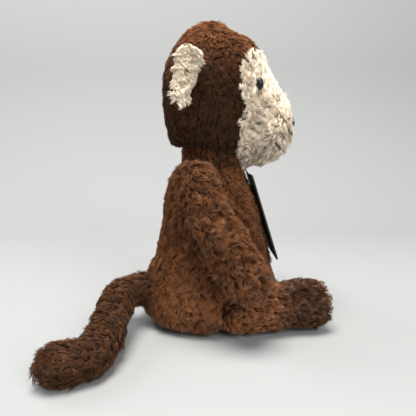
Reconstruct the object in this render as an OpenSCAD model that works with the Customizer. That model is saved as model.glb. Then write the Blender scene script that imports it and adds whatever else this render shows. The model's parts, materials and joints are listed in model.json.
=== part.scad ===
// Stuffed monkey, sitting. Millimetres, +Z up, the face looks along -Y, the right side is -X.
// Origin: on the floor under the middle of the seat.

/* [Torso] */
// Widest radius of the seat
seat_r = 58; // [48:0.5:66]
// Height of the neck rim above the floor
rim_z = 146; // [130:1:160]
// Radius of the neck rim
rim_r = 24; // [20:0.5:28]
// Radius of the flat seat base
base_r = 42; // [34:1:48]
// Torso axis, set back from the origin
torso_y = 1; // [-4:0.5:6]
// Cover fabric with its short pile pressed flat
cover_t = 2.5; // [1.5:0.1:4]

/* [Head] */
// Widest radius of the head
head_r = 47.5; // [42:0.5:54]
// Top of the head above the floor
head_top = 264; // [250:1:275]
// Bottom of the head above the floor
head_low = 156; // [154:0.5:160]
// Head axis along Y
head_y = -1; // [-6:0.5:4]
// Neck ball radius
neck_r = 20; // [16:0.5:22]
// Clearance between the neck ball and its cups
neck_gap = 0.8; // [0.4:0.1:1.5]
// Neck ball centre height
neck_z = 150; // [144:0.5:154]

/* [Face] */
// Muzzle radius
muzzle_r = 31; // [26:0.5:34]
// Muzzle centre in front of the origin
muzzle_y = -38; // [-44:0.5:-32]
// Muzzle centre height
muzzle_z = 175; // [168:0.5:182]
// Radius of the two upper lobes of the face patch
lobe_r = 25; // [20:0.5:28]
// Sideways offset of each lobe
lobe_x = 17; // [12:0.5:22]
// Back edge of the face patch, in front of the origin
face_back = 22; // [18:0.5:26]
// Height of the lobe centres, and of the eyes
eye_z = 208; // [200:0.5:216]
// Eye turned out from straight ahead
eye_turn = 42; // [30:1:45]
// Eye radius
eye_r = 5; // [4:0.1:6]
// Nose radius
nose_r = 6.3; // [5:0.1:8]
// Nose tipped up from straight ahead
nose_tip = 9; // [0:1:20]
// Stitch line radius of the mouth
stitch_r = 0.8; // [0.5:0.1:1.2]
// Half angle of the smile
smile_a = 55; // [35:1:65]

/* [Ears] */
// Radius of the ear's top lobe
ear_r = 14.5; // [12:0.5:17]
// Radius of the ear's lower lobe
ear_low_r = 11; // [8:0.5:13]
// Height of the top lobe above the ear's middle
ear_up = 9.5; // [6:0.5:13]
// Depth of the lower lobe below the ear's middle
ear_down = 15.5; // [10:0.5:20]
// Ear hinge line, sideways
ear_x = 49.5; // [49:0.5:54]
// Ear hinge line, behind the origin
ear_y = 7; // [4:0.5:18]
// Ear middle height
ear_z = 210; // [200:1:220]
// Ear swept out from straight back
ear_out = 30; // [15:1:45]

/* [Arms] */
// Shoulder, sideways
shoulder_x = 47; // [45:0.5:52]
// Shoulder, behind the origin
shoulder_y = 16; // [8:0.5:20]
// Shoulder height
shoulder_z = 139; // [134:0.5:144]
// Upper arm radius
arm_r = 15; // [12:0.5:17]
// Hand radius
hand_r = 18.5; // [15:0.5:20]
// Hand end of the right arm
hand_right = [-67, -24, 56];
// Hand end of the left arm
hand_left = [64, -30, 65];

/* [Legs] */
// Leg radius
leg_r = 21.5; // [18:0.5:24]
// Hip to sole
leg_len = 80; // [70:1:90]
// Hip height
hip_z = 22; // [21.5:0.1:26]
// Right hip
hip_right = [-38, -20];
// Left hip
hip_left = [40, 5];
// Right leg turned towards the left, seen from above
toe_right = 11; // [0:1:20]
// Left leg turned out
toe_left = 45; // [30:1:50]
// Clearance of a thigh in its pocket
hip_gap = 0.8; // [0.4:0.1:1.5]

/* [Tail] */
// Tail radius
tail_r = 13.8; // [11:0.2:15]
// Height of the tail axis where the tail lies on the floor
tail_z = 14.2; // [12:0.1:16]
// Where the tail leaves the back
tail_root = [-19, 57, 31];
// End of the tail
tail_tip = [-116, 105.5, 14.2];

/* [Swing tag] */
// Card width
tag_w = 46; // [36:1:52]
// Card length
tag_len = 78; // [66:1:84]
// Card thickness
tag_t = 1; // [0.6:0.1:1.6]
// Top edge height
tag_z = 134; // [128:0.5:138]
// Top edge in front of the origin
tag_y = -31.4; // [-36:0.1:-31]
// Lean of the card on the belly
tag_lean = 18; // [14:0.1:22]

/* [Hidden] */
n_round = 20;
torso_h = [0, 0.03, 0.07, 0.14, 0.22, 0.31, 0.41, 0.55, 0.68, 0.81, 0.9, 0.96, 1];
torso_w = [0, 0.5, 0.84, 1, 0.985, 0.9, 0.765, 0.66, 0.56, 0.38, 0.22, 0.12, 0];
head_a = [for (k = [0 : 12]) -62 + 152 * k / 12];
head_mid = (head_top + 152) / 2;
head_half = (head_top - 152) / 2;

brown = [0.3, 0.18, 0.11];
cream = [0.85, 0.79, 0.69];
fill = [0.93, 0.93, 0.91];
black = [0.05, 0.05, 0.05];

function bez(p, t) = pow(1 - t, 3) * p[0] + 3 * pow(1 - t, 2) * t * p[1]
    + 3 * (1 - t) * t * t * p[2] + t * t * t * p[3];
function unit(v) = v / norm(v);

// A closed tube along points pts with radii rs and round ends.
module tube(pts, rs, up) {
    n = len(pts);
    caps = 4;
    t0 = unit(pts[1] - pts[0]);
    t1 = unit(pts[n - 1] - pts[n - 2]);
    cen = concat(
        [for (k = [1 : caps - 1]) pts[0] - t0 * rs[0] * cos(90 * k / caps)],
        pts,
        [for (k = [caps - 1 : -1 : 1]) pts[n - 1] + t1 * rs[n - 1] * cos(90 * k / caps)]);
    rad = concat(
        [for (k = [1 : caps - 1]) rs[0] * sin(90 * k / caps)],
        rs,
        [for (k = [caps - 1 : -1 : 1]) rs[n - 1] * sin(90 * k / caps)]);
    m = len(cen);
    tan = [for (i = [0 : m - 1]) unit(cen[min(i + 1, m - 1)] - cen[max(i - 1, 0)])];
    side = [for (i = [0 : m - 1]) unit(cross(tan[i], up))];
    nor = [for (i = [0 : m - 1]) cross(side[i], tan[i])];
    ring = [for (i = [0 : m - 1], j = [0 : n_round - 1])
        cen[i] + rad[i] * (cos(360 * j / n_round) * side[i] + sin(360 * j / n_round) * nor[i])];
    all_pts = concat([pts[0] - t0 * rs[0]], ring, [pts[n - 1] + t1 * rs[n - 1]]);
    last = len(all_pts) - 1;
    walls = [for (i = [0 : m - 2], j = [0 : n_round - 1], s = [0, 1])
        let (a = 1 + i * n_round, b = a + n_round, k = (j + 1) % n_round)
        s == 0 ? [a + j, b + k, b + j] : [a + j, a + k, b + k]];
    ends = [for (j = [0 : n_round - 1], s = [0, 1])
        let (k = (j + 1) % n_round, e = 1 + (m - 1) * n_round)
        s == 0 ? [0, 1 + k, 1 + j] : [last, e + j, e + k]];
    polyhedron(points = all_pts, faces = concat(walls, ends), convexity = 4);
}

// Torso and head, as turned shapes shrunk by d all round.
module torso_form(d) {
    edge = [for (k = [0 : 12]) [
        (k < 3 ? base_r + (seat_r - base_r) * torso_w[k] : rim_r + (seat_r - rim_r) * torso_w[k]) - d,
        min(rim_z - d, max(d, rim_z * torso_h[k]))]];
    translate([0, torso_y, 0]) rotate_extrude($fn = 96)
        polygon(concat([[0, d]], edge, [[0, rim_z - d]]));
}
module head_form(d) {
    edge = [for (a = head_a) if (a < 89) [pow(cos(a), a > 0 ? 0.95 : 0.6) * (head_r - d),
        max(head_low + d, head_mid + (head_half - d) * sin(a))]];
    translate([0, head_y, 0]) rotate_extrude($fn = 96)
        polygon(concat([[0, head_low + d]], edge, [[0, head_top - d]]));
}
module neck_cup() { translate([0, torso_y, neck_z]) sphere(r = neck_r + neck_gap, $fn = 64); }

// Room for a thigh: at rest, and on its way down.
module thigh_room(hip, toe) {
    translate([hip[0], hip[1], hip_z]) rotate([0, 0, toe]) {
        sphere(r = leg_r + hip_gap + 0.3, $fn = 64);
        rotate([90, 0, 0]) cylinder(r = leg_r + hip_gap, h = 60, $fn = 64);
        translate([0, 0, -60]) cylinder(r = leg_r + hip_gap, h = 60, $fn = 64);
        translate([-leg_r - hip_gap / 2, -60, -60]) cube([2 * leg_r + hip_gap, 60, 60]);
    }
}
module tail_cup() { translate(tail_root) sphere(r = tail_r + 0.2, $fn = 64); }
module pockets() {
    neck_cup();
    thigh_room(hip_right, toe_right);
    thigh_room(hip_left, toe_left);
    tail_cup();
}

module torso_cover() color(brown) difference() {
    torso_form(0);
    torso_form(cover_t);
    pockets();
}
module torso_stuffing() color(fill) difference() {
    torso_form(cover_t);
    pockets();
    bag();
}
module bag() { translate([-4, 22, cover_t + 1]) cylinder(r = 20, h = 18, $fn = 64); }
module bean_bag() color([0.75, 0.72, 0.62]) bag();
module neck_plug() color(brown) translate([0, torso_y, neck_z]) sphere(r = neck_r, $fn = 64);

// Heart-shaped outline of the face patch, pushed through the front of the head.
module face_prism() {
    translate([-lobe_x, -face_back, eye_z]) rotate([90, 0, 0]) cylinder(r = lobe_r, h = 60, $fn = 64);
    translate([lobe_x, -face_back, eye_z]) rotate([90, 0, 0]) cylinder(r = lobe_r, h = 60, $fn = 64);
    translate([-head_r, -face_back - 60, 150]) cube([2 * head_r, 60, eye_z - 150]);
}
module head_shell() difference() {
    head_form(0);
    head_form(cover_t);
    neck_cup();
}
module on_face(turn, h) { translate([0, head_y, h]) rotate([0, 0, turn]) rotate([90, 0, 0]) children(); }
module eye_holes(r) {
    for (s = [-1, 1]) on_face(s * eye_turn, eye_z) cylinder(r = r, h = 60, $fn = 32);
}
module head_cover() color(brown) difference() { head_shell(); face_prism(); }
module face_panel() color(cream) difference() {
    intersection() { head_shell(); face_prism(); }
    eye_holes(1.7);
}
module washer_at(turn, h, d, hole) on_face(turn, h) translate([0, 0, d]) difference() {
    cylinder(r = 6, h = 1.4, $fn = 48);
    translate([0, 0, -1]) cylinder(r = hole, h = 4, $fn = 32);
}
module head_stuffing() color(fill) difference() {
    head_form(cover_t);
    neck_cup();
    for (s = [-1, 1]) on_face(s * eye_turn, eye_z) translate([0, 0, head_r - 9]) cylinder(r = 6.5, h = 20, $fn = 48);
    on_nose() translate([0, 0, -26]) cylinder(r = 6.5, h = 20, $fn = 48);
}
module eye(turn) color(black) on_face(turn, eye_z) {
    translate([0, 0, head_r - 8]) cylinder(r = 1.5, h = 9, $fn = 32);
    translate([0, 0, head_r + 0.6]) rotate_extrude($fn = 64)
        polygon(concat([[0, 0], [eye_r, 0]], [for (a = [0 : 15 : 75]) [eye_r * cos(a), 0.8 + 3.2 * sin(a)]], [[0, 4]]));
}
module eye_right() eye(-eye_turn);
module eye_left() eye(eye_turn);
module eye_washer_right() color(fill) washer_at(-eye_turn, eye_z, head_r - 6.6, 1.6);
module eye_washer_left() color(fill) washer_at(eye_turn, eye_z, head_r - 6.6, 1.6);

// Direction of the nose from the middle of the muzzle, tipped up.
module on_nose() { translate([0, muzzle_y, muzzle_z]) rotate([-nose_tip, 0, 0]) rotate([90, 0, 0]) children(); }
module muzzle() color(cream) difference() {
    translate([0, muzzle_y, muzzle_z]) sphere(r = muzzle_r, $fn = 96);
    head_form(0);
    neck_cup();
    translate([0, torso_y, neck_z - 20]) cylinder(r = rim_r + 7, h = 21, $fn = 64);
    on_nose() translate([0, 0, muzzle_r - 9]) cylinder(r = 6.2, h = 2.2, $fn = 48);
    on_nose() translate([0, 0, muzzle_r - 10]) cylinder(r = 1.7, h = 20, $fn = 32);
}
module nose() color(black) on_nose() {
    translate([0, 0, muzzle_r - 9.6]) cylinder(r = 1.5, h = 11, $fn = 32);
    translate([0, 0, muzzle_r + 0.3]) rotate_extrude($fn = 64)
        polygon(concat([[0, 0], [nose_r, 0]], [for (a = [0 : 15 : 75]) [nose_r * cos(a), 0.8 + 3.4 * sin(a)]], [[0, 4.2]]));
}
module nose_washer() color(fill) on_nose() translate([0, 0, muzzle_r - 8.6]) difference() {
    cylinder(r = 6, h = 1.4, $fn = 48);
    translate([0, 0, -1]) cylinder(r = 1.6, h = 4, $fn = 32);
}
module mouth_stitch() color(black)
    translate([0, muzzle_y + 2.6, muzzle_z - 5]) rotate([27.4, 0, 0]) rotate([0, 0, -90 - smile_a])
        rotate_extrude(angle = 2 * smile_a, $fn = 96) translate([muzzle_r - 0.5, 0]) circle(r = stitch_r, $fn = 24);

// An ear in its own frame: the hinge line is Z, the ear reaches along +Y, its lining faces -X.
module ear_outline(d) hull() {
    translate([ear_r + 1.5, ear_up]) circle(r = ear_r - d, $fn = 32);
    translate([ear_r + 7, -ear_down]) circle(r = ear_low_r - d, $fn = 32);
}
module ear_at(s) translate([s * ear_x, ear_y, ear_z]) rotate([0, 0, -s * ear_out]) scale([-s, 1, 1]) children();
module ear_plate(x, t, d) translate([x, 0, 0]) rotate([90, 0, -90]) scale([-1, 1, 1])
    linear_extrude(height = t) ear_outline(d);
module ear_back() color(brown) {
    ear_plate(1, 4, 0);
    translate([0, 0, ear_up - 11]) cylinder(r = 2.2, h = 22, $fn = 32);
    translate([-2, 0, ear_up - 11]) cube([2.5, 6, 22]);
}
module ear_front() color(cream) ear_plate(-3, 3, 1.5);
module ear_back_right() ear_at(-1) ear_back();
module ear_front_right() ear_at(-1) ear_front();
module ear_back_left() ear_at(1) ear_back();
module ear_front_left() ear_at(1) ear_front();

// Arms: a soft bend from the shoulder to the hand.
arm_steps = 10;
function arm_path(s, hand, hz) = let (p = [
        [s * shoulder_x, shoulder_y, shoulder_z],
        [s * (shoulder_x + 14), shoulder_y - 2, shoulder_z - 27],
        [s * (shoulder_x + 18), hand[1] + 17, hz],
        hand])
    [for (k = [0 : arm_steps]) bez(p, k / arm_steps)];
arm_rs = [for (k = [0 : arm_steps]) arm_r + (hand_r - arm_r) * pow(k / arm_steps, 1.6)];
function thinner(rs, d) = [for (r = rs) r - d];
module arm_form(s, hand, hz, d) tube(arm_path(s, hand, hz), thinner(arm_rs, d), [1, 0, 0]);
module arm_cover_right() color(brown) difference() { arm_form(-1, hand_right, 88, 0); arm_form(-1, hand_right, 88, cover_t); }
module arm_stuffing_right() color(fill) arm_form(-1, hand_right, 88, cover_t);
module arm_cover_left() color(brown) difference() { arm_form(1, hand_left, 92, 0); arm_form(1, hand_left, 92, cover_t); }
module arm_stuffing_left() color(fill) arm_form(1, hand_left, 92, cover_t);

// Legs: turned sausages with a ball end in the hip and a flat sole.
module leg_at(hip, toe) translate([hip[0], hip[1], hip_z]) rotate([0, 0, toe]) rotate([90, 0, 0]) children();
module leg_form(d) {
    r = leg_r - d;
    rotate_extrude($fn = 96) polygon(concat(
        [for (a = [-90 : 10 : 0]) [max(0, r * cos(a)), r * sin(a)]],
        [[r, leg_len * 0.35], [r - 0.5, leg_len * 0.6], [r, leg_len * 0.78]],
        [for (a = [15 : 15 : 75]) [r - 5 + 5 * cos(a), leg_len - d - 12 + 12 * sin(a)]],
        [[r - 5, leg_len - d], [0, leg_len - d]]));
}
module leg_cover(hip, toe) color(brown) leg_at(hip, toe) difference() { leg_form(0); leg_form(cover_t); }
module sole(hip, toe) color(cream) leg_at(hip, toe) translate([0, 0, leg_len])
    cylinder(r1 = leg_r - 5, r2 = leg_r - 7, h = 2.2, $fn = 64);
module leg_cover_right() leg_cover(hip_right, toe_right);
module leg_stuffing_right() color(fill) leg_at(hip_right, toe_right) leg_form(cover_t);
module sole_right() sole(hip_right, toe_right);
module leg_cover_left() leg_cover(hip_left, toe_left);
module leg_stuffing_left() color(fill) leg_at(hip_left, toe_left) leg_form(cover_t);
module sole_left() sole(hip_left, toe_left);

// Tail: one soft curve in four pieces, each with a ball at its start and a cup at its end.
tail_bez = [tail_root, [-24, 108, 35], [-110, 56, 9], tail_tip];
tail_cuts = [0, 0.27, 0.5, 0.72, 1];
function tail_p(t) = let (p = bez(tail_bez, t)) [p[0], p[1], max(tail_z, p[2])];
function tail_dir(t) = unit(tail_p(min(1, t + 0.01)) - tail_p(max(0, t - 0.01)));
module tail_piece(k) color(brown) {
    a = tail_cuts[k];
    b = tail_cuts[k + 1];
    last = k == 3;
    difference() {
        tube([for (i = [0 : 6]) tail_p(a + 0.012 + (b - a - (last ? 0.012 : 0.1)) * i / 6)],
            [for (i = [0 : 6]) tail_r - (i == 0 ? 0.6 : 0)], [0, 0, 1]);
        if (!last) translate(tail_p(b)) sphere(r = tail_r + 0.3, $fn = 48);
    }
}
module tail_root_piece() tail_piece(0);
module tail_second() tail_piece(1);
module tail_third() tail_piece(2);
module tail_end() tail_piece(3);

// The card hangs from a thin loop round the neck.
module tag_loop() color([0.2, 0.18, 0.18]) {
    translate([0, torso_y, rim_z + 1.4]) rotate_extrude($fn = 96) translate([rim_r, 0]) circle(r = 0.8, $fn = 24);
    hull() {
        translate([0, torso_y - rim_r, rim_z + 1.4]) sphere(r = 0.8, $fn = 16);
        translate([0, tag_y + 0.2, tag_z + 2.4]) sphere(r = 0.8, $fn = 16);
    }
}
module swing_tag() color([0.16, 0.14, 0.14]) translate([0, tag_y, tag_z]) rotate([-tag_lean, 0, 0])
    translate([-tag_w / 2, -tag_t, -tag_len]) difference() {
        cube([tag_w, tag_t, tag_len]);
        translate([tag_w / 2, -1, tag_len - 5]) rotate([-90, 0, 0]) cylinder(r = 1.6, h = tag_t + 2, $fn = 32);
    }

torso_cover();
torso_stuffing();
bean_bag();
neck_plug();
head_cover();
head_stuffing();
face_panel();
muzzle();
nose();
nose_washer();
mouth_stitch();
eye_right();
eye_left();
eye_washer_right();
eye_washer_left();
ear_back_right();
ear_front_right();
ear_back_left();
ear_front_left();
arm_cover_right();
arm_stuffing_right();
arm_cover_left();
arm_stuffing_left();
leg_cover_right();
leg_stuffing_right();
sole_right();
leg_cover_left();
leg_stuffing_left();
sole_left();
tail_root_piece();
tail_second();
tail_third();
tail_end();
tag_loop();
swing_tag();
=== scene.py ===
import json
import math

import bmesh
import bpy
import numpy as np
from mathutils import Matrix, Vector, kdtree


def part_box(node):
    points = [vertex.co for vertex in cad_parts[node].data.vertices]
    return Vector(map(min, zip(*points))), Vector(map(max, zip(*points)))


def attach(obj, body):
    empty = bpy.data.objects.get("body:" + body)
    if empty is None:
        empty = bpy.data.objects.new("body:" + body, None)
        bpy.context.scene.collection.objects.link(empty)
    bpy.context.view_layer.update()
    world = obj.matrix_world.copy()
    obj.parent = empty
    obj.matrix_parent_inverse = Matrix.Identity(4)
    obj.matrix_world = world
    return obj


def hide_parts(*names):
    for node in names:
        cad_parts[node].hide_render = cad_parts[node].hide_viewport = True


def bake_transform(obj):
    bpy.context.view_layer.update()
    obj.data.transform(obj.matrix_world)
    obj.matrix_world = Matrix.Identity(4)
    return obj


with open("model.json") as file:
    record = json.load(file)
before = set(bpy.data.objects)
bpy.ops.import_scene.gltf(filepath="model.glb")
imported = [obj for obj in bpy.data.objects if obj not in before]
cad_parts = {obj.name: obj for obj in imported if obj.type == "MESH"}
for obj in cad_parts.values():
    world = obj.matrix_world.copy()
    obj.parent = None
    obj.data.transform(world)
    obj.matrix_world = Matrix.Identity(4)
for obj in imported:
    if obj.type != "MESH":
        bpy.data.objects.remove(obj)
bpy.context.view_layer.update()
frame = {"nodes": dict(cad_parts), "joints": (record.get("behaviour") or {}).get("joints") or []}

# ---------------------------------------------------------------------------------------------
# The table, the light and the camera.
# A plain pale table top runs up into a pale wall behind, with wide soft lamps over it and to each side.
# ---------------------------------------------------------------------------------------------
def studio_paint(name, colour, rough):
    paint = bpy.data.materials.new(name)
    paint.use_nodes = True
    tree = paint.node_tree
    shader = tree.nodes["Principled BSDF"]
    shader.inputs["Roughness"].default_value = rough
    shader.inputs["Specular IOR Level"].default_value = 0.2
    mottle = tree.nodes.new("ShaderNodeTexNoise")
    mottle.inputs["Scale"].default_value = 6.0
    ramp = tree.nodes.new("ShaderNodeValToRGB")
    ramp.color_ramp.elements[0].color = [c * 0.97 for c in colour] + [1]
    ramp.color_ramp.elements[1].color = [*colour, 1]
    tree.links.new(mottle.outputs["Fac"], ramp.inputs["Fac"])
    tree.links.new(ramp.outputs["Color"], shader.inputs["Base Color"])
    return paint


def soft_lamp(name, place, aim, size, watts, tint=(1, 1, 1)):
    data = bpy.data.lights.new(name, "AREA")
    data.shape = "DISK"
    data.size = size
    data.energy = watts
    data.color = tint
    lamp = bpy.data.objects.new(name, data)
    lamp.location = place
    lamp.rotation_euler = (Vector(aim) - Vector(place)).to_track_quat("-Z", "Y").to_euler()
    bpy.context.scene.collection.objects.link(lamp)
    return lamp


table_front, wall_x, wall_top, sweep_r, sweep_steps, table_half = -7.0, 0.8, 1.8, 0.4, 12, 7.0
sweep = [(table_front, 0.0), (wall_x - sweep_r, 0.0)]
for step in range(1, sweep_steps + 1):
    turn = math.pi / 2 * step / sweep_steps
    sweep.append((wall_x - sweep_r + sweep_r * math.sin(turn), sweep_r * (1 - math.cos(turn))))
sweep.append((wall_x, wall_top))
table_mesh = bmesh.new()
edges = [[table_mesh.verts.new((x, y, z)) for x, z in sweep] for y in (-table_half, table_half)]
for k in range(len(sweep) - 1):
    table_mesh.faces.new((edges[0][k], edges[0][k + 1], edges[1][k + 1], edges[1][k]))
table_data = bpy.data.meshes.new("table_top")
table_mesh.to_mesh(table_data)
table_data.shade_smooth()
table_top = bpy.data.objects.new("table_top", table_data)
table_data.materials.append(studio_paint("pale_paint", (0.33, 0.335, 0.332), 0.85))
bpy.context.scene.collection.objects.link(table_top)

middle = (0.0, 0.0, 0.14)
soft_lamp("lamp_over", (-0.3, 0.1, 1.35), middle, 0.8, 33.0, (1.0, 0.985, 0.96))
soft_lamp("lamp_front", (-1.1, -0.75, 0.85), middle, 0.8, 14.0, (1.0, 0.99, 0.98))
soft_lamp("lamp_back", (0.3, 0.95, 0.9), middle, 0.7, 7.0)
soft_lamp("lamp_left", (0.9, -0.9, 0.7), middle, 0.8, 7.0)
room = bpy.data.worlds.new("room")
room.use_nodes = True
room.node_tree.nodes["Background"].inputs["Color"].default_value = (0.80, 0.82, 0.85, 1)
room.node_tree.nodes["Background"].inputs["Strength"].default_value = 0.48
bpy.context.scene.world = room
bpy.context.scene.view_settings.view_transform = "Standard"

lens_per_width = 401 / 416
camera_data = bpy.data.cameras.new("camera")
camera_data.sensor_width = 36.0
camera_data.lens = 36.0 * lens_per_width
camera = bpy.data.objects.new("camera", camera_data)
camera.location = (-0.365, 0.0055, 0.151)
camera.rotation_euler = (math.radians(90 - 7.5), 0, math.radians(-90))
bpy.context.scene.collection.objects.link(camera)
bpy.context.scene.camera = camera

# ---------------------------------------------------------------------------------------------
# The body: five brown gores sewn into a bag with soft shoulders, two seams down the back, one at
# each side and one down the front. Knitted pile cloth, stuffed, with a pouch of beans low down.
# ---------------------------------------------------------------------------------------------
mm = 0.001


def waves(points, span, seed, count=7):
    """Smooth wandering values from -1 to 1 that change over about one span."""
    rng = np.random.default_rng(seed)
    ways = rng.normal(size=(count, 3))
    ways *= (rng.uniform(0.7, 1.5, count) / np.linalg.norm(ways, axis=1))[:, None]
    phases = points @ ways.T * (2 * math.pi / span) + rng.uniform(0, 6.283, count)
    return np.sin(phases).sum(1) / (0.62 * count)


def unit(rows):
    return rows / np.maximum(np.linalg.norm(rows, axis=1), 1e-12)[:, None]


def node_points(node):
    mesh = frame["nodes"][node].data
    flat = np.zeros(len(mesh.vertices) * 3)
    mesh.vertices.foreach_get("co", flat)
    return flat.reshape(-1, 3)


def add_node(shape, node):
    shape.from_mesh(frame["nodes"][node].data)


def add_hull(shape, points):
    fresh = [shape.verts.new(p) for p in points]
    out = bmesh.ops.convex_hull(shape, input=fresh)
    bmesh.ops.delete(shape, geom=[v for v in out["geom_interior"] if isinstance(v, bmesh.types.BMVert)])


def ball_points(centre, r, rings=8, steps=14):
    c = np.array(centre, float)
    up = [math.pi * (k + 0.5) / rings for k in range(rings)]
    around = [2 * math.pi * k / steps for k in range(steps)]
    return [c + r * np.array([math.sin(u) * math.cos(a), math.sin(u) * math.sin(a), math.cos(u)])
            for u in up for a in around]


def soften(shape, grain, rounds):
    """Remeshes closed forms into one soft skin and gives its points and four-sided faces."""
    data = bpy.data.meshes.new("shape")
    shape.to_mesh(data)
    shape.free()
    thing = bpy.data.objects.new("shape", data)
    bpy.context.scene.collection.objects.link(thing)
    remesh = thing.modifiers.new("remesh", "REMESH")
    remesh.mode = "VOXEL"
    remesh.voxel_size = grain
    smooth = thing.modifiers.new("smooth", "SMOOTH")
    smooth.factor = 0.5
    smooth.iterations = rounds
    made = thing.evaluated_get(bpy.context.evaluated_depsgraph_get()).to_mesh()
    whole = bmesh.new()
    whole.from_mesh(made)
    islands, seen = [], set()
    for start in whole.verts:
        if start.index in seen:
            continue
        island, edge = [], [start]
        seen.add(start.index)
        while edge:
            v = edge.pop()
            island.append(v)
            for e in v.link_edges:
                w = e.other_vert(v)
                if w.index not in seen:
                    seen.add(w.index)
                    edge.append(w)
        islands.append(island)
    islands.sort(key=lambda i: -(max(v.co.z for v in i) - min(v.co.z for v in i)) * len(i))
    for island in islands[1:]:
        bmesh.ops.delete(whole, geom=island, context="VERTS")
    whole.verts.index_update()
    points = np.array([v.co for v in whole.verts], float)
    faces = np.array([[v.index for v in f.verts] for f in whole.faces if len(f.verts) == 4], int)
    whole.free()
    bpy.data.objects.remove(thing)
    bpy.data.meshes.remove(data)
    return points, faces


def skin_normals(points, faces):
    a, b, c, d = (points[faces[:, k]] for k in range(4))
    facing = np.cross(c - a, d - b)
    out = np.zeros_like(points)
    for k in range(4):
        np.add.at(out, faces[:, k], facing)
    return unit(out)


def scatter(points, faces, normals, count, rng):
    """Evenly spread spots on the skin: where they are and which way is out."""
    corners = np.concatenate([faces[:, [0, 1, 2]], faces[:, [0, 2, 3]]])
    corners = corners[np.argsort(np.tile(np.arange(len(faces)), 2), kind="stable")]
    a, b, c = (points[corners[:, k]] for k in range(3))
    total = np.cumsum(np.linalg.norm(np.cross(b - a, c - a), axis=1))
    pick = (np.arange(count) + rng.uniform(0, 1, count)) / count * total[-1]
    tri = np.searchsorted(total, pick).clip(0, len(corners) - 1)
    u, v = rng.uniform(0, 1, (2, count))
    over = u + v > 1
    u[over], v[over] = 1 - u[over], 1 - v[over]
    w = 1 - u - v
    spots = w[:, None] * a[tri] + u[:, None] * b[tri] + v[:, None] * c[tri]
    out = (w[:, None] * normals[corners[tri, 0]] + u[:, None] * normals[corners[tri, 1]]
           + v[:, None] * normals[corners[tri, 2]])
    return spots, unit(out)


def turned(along, out, angle):
    """Turns each direction in the plane of the cloth."""
    return along * np.cos(angle)[:, None] + np.cross(out, along) * np.sin(angle)[:, None]


def grow_pile(spots, out, lay, long, wide, tone, rng, curl, lift, gather, per_lock, stops):
    """Closed three-sided tufts, gathered into curved locks. Gives points, rows of faces and shade."""
    n = len(spots)
    lead = rng.permutation(n)[: max(1, n // per_lock)]
    tree = kdtree.KDTree(len(lead))
    for k, j in enumerate(lead):
        tree.insert(spots[j], k)
    tree.balance()
    lock = np.array([tree.find(s)[1] for s in spots])
    lock_turn = rng.normal(0, 0.3, len(lead))[lock]
    lock_bend = (rng.choice([-1, 1], len(lead)) * rng.uniform(0.5, 1.3, len(lead)) * curl)[lock]
    lock_tint = rng.uniform(0, 1, len(lead))[lock]
    lock_long = rng.uniform(0.8, 1.2, len(lead))[lock]
    along = unit(lay - (lay * out).sum(1)[:, None] * out)
    along = turned(along, out, lock_turn + rng.normal(0, 0.22, n))
    side = np.cross(out, along)
    reach = long * lock_long * rng.uniform(0.82, 1.12, n)
    path = np.zeros((n, stops, 3))
    heading = np.zeros((n, stops, 3))
    path[:, 0] = spots - out * 0.7 * mm
    raise_by = np.radians(lift) * rng.uniform(0.8, 1.15, n)
    for k in range(stops):
        t = k / (stops - 1)
        swing = lock_bend * (t * 1.6 - 0.35)
        up = raise_by * (1 - 1.05 * t)
        over_cloth = np.cos(swing)[:, None] * along + np.sin(swing)[:, None] * side
        heading[:, k] = np.cos(up)[:, None] * over_cloth + np.sin(up)[:, None] * out
        if k:
            path[:, k] = path[:, k - 1] + heading[:, k - 1] * (reach / (stops - 1))[:, None]
    for k in range(1, stops):
        pull = gather * (k / (stops - 1)) ** 0.8
        path[:, k] += pull * (path[lead[lock], k] - path[:, k])
    tint = rng.uniform(0, 1, n)
    rows = stops - 1
    size = 3 * rows + 1
    thick = np.linspace(1.05, 0.7, rows)
    points = np.zeros((n, size, 3))
    shade = np.zeros((n, size, 4))
    for k in range(rows):
        t = heading[:, k]
        up = unit(out - (out * t).sum(1)[:, None] * t)
        across = np.cross(t, up)
        for j in range(3):
            a = 2 * math.pi * j / 3
            points[:, 3 * k + j] = path[:, k] + wide * thick[k] / 2 * (
                math.cos(a) * 0.8 * up + math.sin(a) * 1.15 * across)
        # The dark root end is painted shade down among the tufts.
        shade[:, 3 * k:3 * k + 3, 0] = 0.85 * k / rows
    points[:, -1] = path[:, -1]
    shade[:, -1, 0] = 1
    shade[:, :, 1] = lock_tint[:, None]
    shade[:, :, 2] = tint[:, None]
    shade[:, :, 3] = tone[:, None]
    start = (np.arange(n) * size)[:, None]
    quads = np.concatenate([start + 3 * r + np.array([j, (j + 1) % 3, 3 + (j + 1) % 3, 3 + j])
                            for r in range(rows - 1) for j in range(3)])
    ends = [start + np.array([size - 4 + j, size - 4 + (j + 1) % 3, size - 1]) for j in range(3)]
    tris = np.concatenate(ends + [start + np.array([0, 2, 1])])
    return points.reshape(-1, 3), quads, tris, shade.reshape(-1, 4)


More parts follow.
